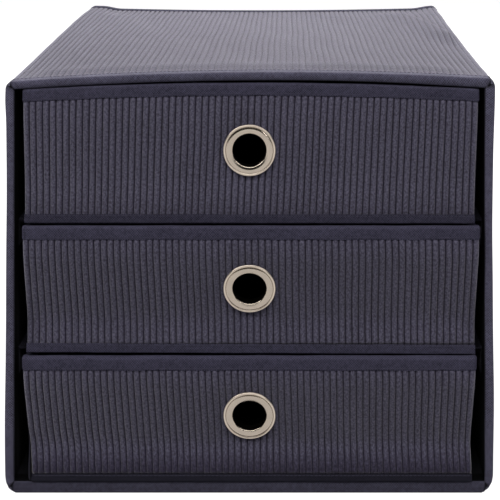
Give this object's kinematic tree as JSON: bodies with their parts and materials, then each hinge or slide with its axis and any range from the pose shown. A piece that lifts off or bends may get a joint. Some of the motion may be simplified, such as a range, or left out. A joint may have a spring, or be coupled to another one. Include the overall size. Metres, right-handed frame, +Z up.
{
  "type": "fabric drawer box",
  "caption": "Corduroy-covered board box with an open front, cloth-covered shelves and soft slide-out drawers that are pulled by a round metal eyelet in each front.",
  "frame": {"origin": "on the floor under the middle of the box", "axes": "+Z up, -Y out of the open front, +X to the right for someone who faces the drawers"},
  "size_m": [0.32, 0.3225, 0.276],
  "materials": {
    "cord_cloth": "matte",
    "plain_cloth": "matte",
    "tape": "matte",
    "lining_cloth": "matte",
    "grey_board": "matte",
    "nickel": "satin"
  },
  "bodies": {
    "frame": {"right_cover": "cord_cloth", "left_cover": "cord_cloth", "top_cover": "cord_cloth", "right_board": "grey_board", "left_board": "grey_board", "top_board": "grey_board", "right_lining": "lining_cloth", "left_lining": "lining_cloth", "top_lining": "lining_cloth", "bottom_cover": "cord_cloth", "bottom_board": "grey_board", "bottom_lining": "lining_cloth", "back_cover": "plain_cloth", "back_board": "grey_board", "back_lining": "lining_cloth", "edge_piping": "tape", "front_binding_top": "tape", "front_binding_bottom": "tape", "front_binding_left": "tape", "front_binding_right": "tape", "rear_binding": "tape", "rear_binding_bottom": "tape", "lower_shelf_board": "grey_board", "lower_shelf_cover": "plain_cloth", "upper_shelf_board": "grey_board", "upper_shelf_cover": "plain_cloth"},
    "top_drawer": {"top_drawer_front_cover": "cord_cloth", "top_drawer_front_hem": "tape", "top_drawer_front_board": "grey_board", "top_drawer_bag": "plain_cloth", "top_drawer_back_board": "grey_board", "top_drawer_side_boards": "grey_board", "top_drawer_base_board": "lining_cloth", "top_drawer_lining": "lining_cloth", "top_drawer_rim_binding": "tape", "top_drawer_eyelet": "nickel", "top_drawer_eyelet_washer": "nickel"},
    "middle_drawer": {"middle_drawer_front_cover": "cord_cloth", "middle_drawer_front_hem": "tape", "middle_drawer_front_board": "grey_board", "middle_drawer_bag": "plain_cloth", "middle_drawer_back_board": "grey_board", "middle_drawer_side_boards": "grey_board", "middle_drawer_base_board": "lining_cloth", "middle_drawer_lining": "lining_cloth", "middle_drawer_rim_binding": "tape", "middle_drawer_eyelet": "nickel", "middle_drawer_eyelet_washer": "nickel"},
    "bottom_drawer": {"bottom_drawer_front_cover": "cord_cloth", "bottom_drawer_front_hem": "tape", "bottom_drawer_front_board": "grey_board", "bottom_drawer_bag": "plain_cloth", "bottom_drawer_back_board": "grey_board", "bottom_drawer_side_boards": "grey_board", "bottom_drawer_base_board": "lining_cloth", "bottom_drawer_lining": "lining_cloth", "bottom_drawer_rim_binding": "tape", "bottom_drawer_eyelet": "nickel", "bottom_drawer_eyelet_washer": "nickel"}
  },
  "joints": [
    {"name": "top_drawer_slide", "type": "slide", "parent": "frame", "child": "top_drawer", "axis": [0, -1, 0], "range_m": [0, 0.23]},
    {"name": "middle_drawer_slide", "type": "slide", "parent": "frame", "child": "middle_drawer", "axis": [0, -1, 0], "range_m": [0, 0.23]},
    {"name": "bottom_drawer_slide", "type": "slide", "parent": "frame", "child": "bottom_drawer", "axis": [0, -1, 0], "range_m": [0, 0.23]}
  ]
}
